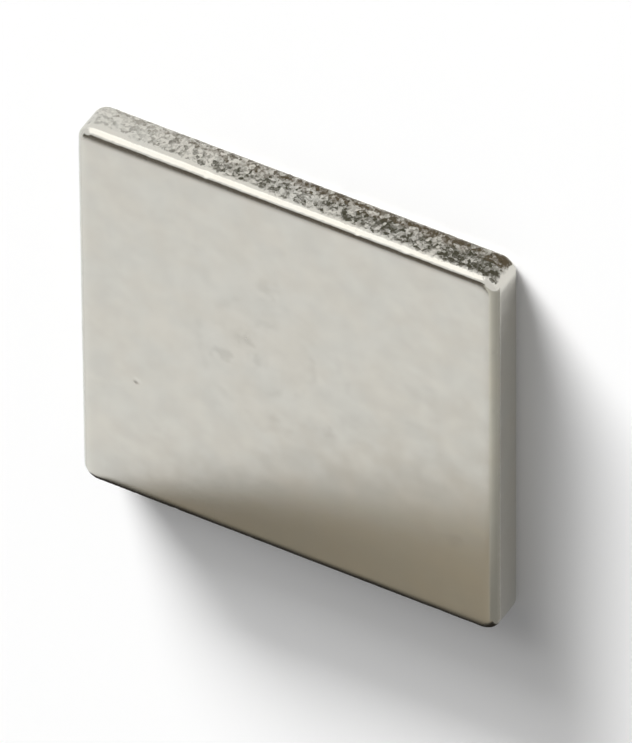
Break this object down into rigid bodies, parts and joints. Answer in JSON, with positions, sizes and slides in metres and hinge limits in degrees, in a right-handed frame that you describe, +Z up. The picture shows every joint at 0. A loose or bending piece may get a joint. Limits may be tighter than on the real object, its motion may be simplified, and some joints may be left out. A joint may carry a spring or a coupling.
{
  "type": "block magnet",
  "caption": "Thin square block magnet: a nickel-plated sintered plate with tumbled corners and rims, magnetised through its thickness.",
  "frame": {"origin": "centre of the lower pole face, which the plate lies on", "axes": "+Z up through the thickness, which is also the direction of magnetisation; +X along the width and +Y along the length of the pole faces"},
  "size_m": [0.01, 0.01, 0.001],
  "materials": {
    "nickel_plating": "satin nickel plating over a tumbled sintered surface, fine on the pole faces and grainy on the sides"
  },
  "bodies": {
    "root": {"block_magnet": "nickel_plating"}
  },
  "joints": []
}
